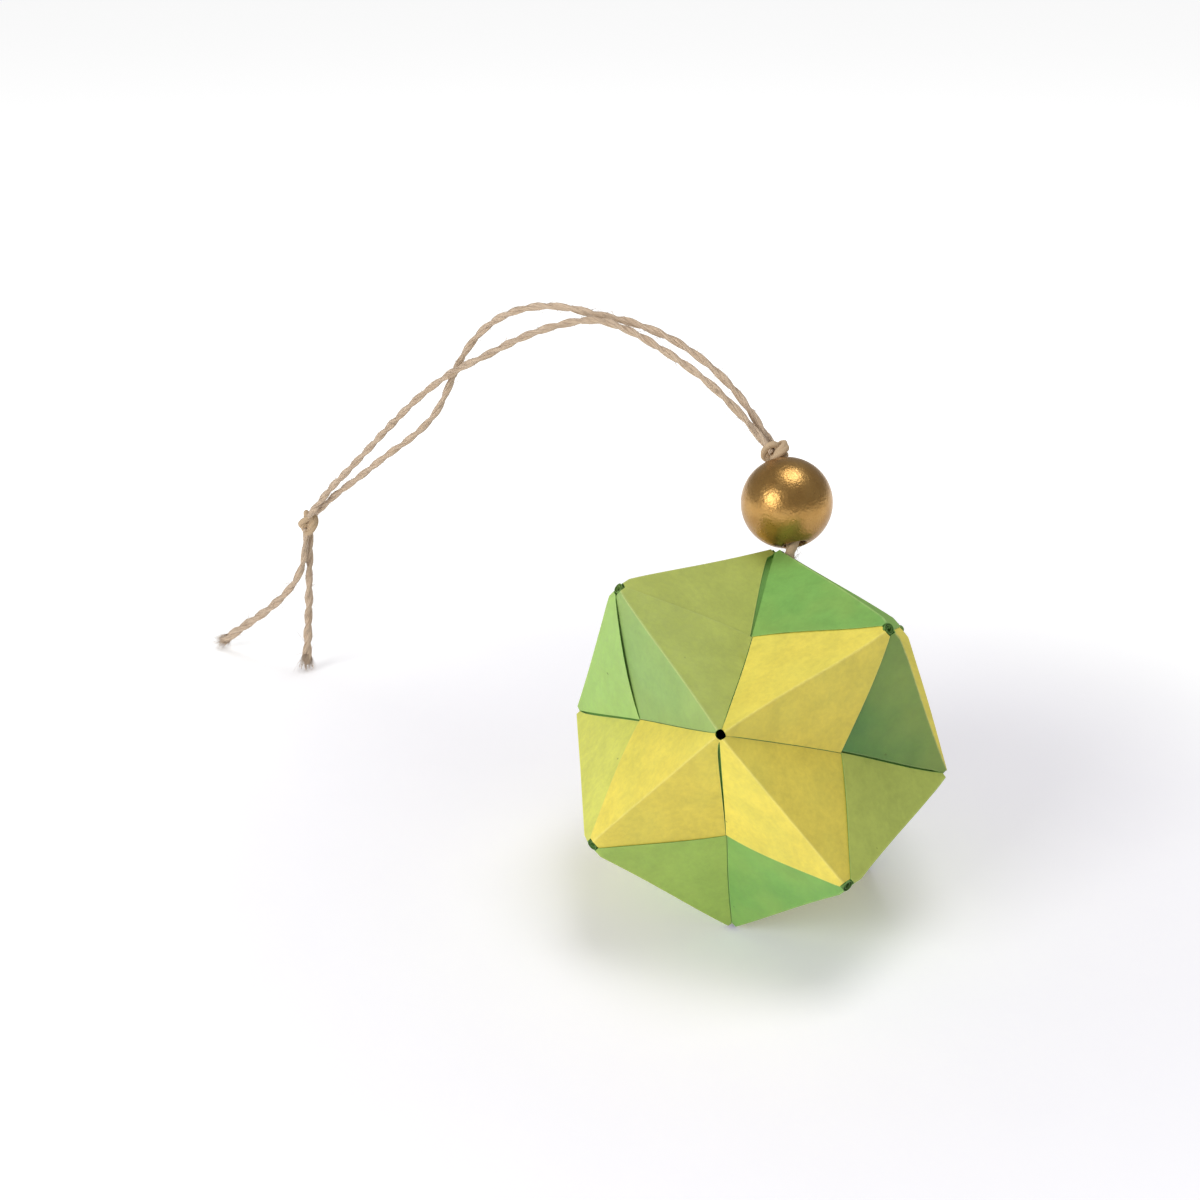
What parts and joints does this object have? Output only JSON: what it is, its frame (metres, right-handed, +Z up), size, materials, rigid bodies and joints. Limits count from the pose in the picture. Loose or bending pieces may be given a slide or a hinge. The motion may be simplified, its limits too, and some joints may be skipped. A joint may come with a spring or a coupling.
{
  "type": "kusudama paper ball",
  "caption": "Folded paper ball of interlocked square sheets in yellow and green, with a gold bead and a knotted twine hanger.",
  "frame": {"origin": "on the floor, straight below the centre of the paper ball, which rests on one four-fold point and two three-fold points", "axes": "+Z up, +X to the right and -Y towards the front, the side with the yellow pinwheel"},
  "size_m": [0.2156, 0.1135, 0.1171],
  "materials": {
    "paper_yellow": "matte yellow craft paper, shading to green",
    "paper_green": "matte green craft paper",
    "paper_olive": "matte olive green craft paper, shading to yellow",
    "gold_paint": "satin gold metallic paint over wood",
    "jute": "rough two-ply jute twine"
  },
  "bodies": {
    "root": {"sheet_01": "paper_yellow", "sheet_02": "paper_green", "sheet_03": "paper_yellow", "sheet_04": "paper_yellow", "sheet_05": "paper_olive", "sheet_06": "paper_olive", "sheet_07": "paper_yellow", "sheet_08": "paper_yellow", "sheet_09": "paper_green", "sheet_10": "paper_green", "sheet_11": "paper_yellow", "sheet_12": "paper_olive", "bead": "gold_paint", "twine_neck": "jute", "stop_knot": "jute", "bead_knot": "jute", "end_knot": "jute", "strand_upper": "jute", "strand_lower": "jute", "tail_right": "jute", "tail_left": "jute"}
  },
  "joints": []
}
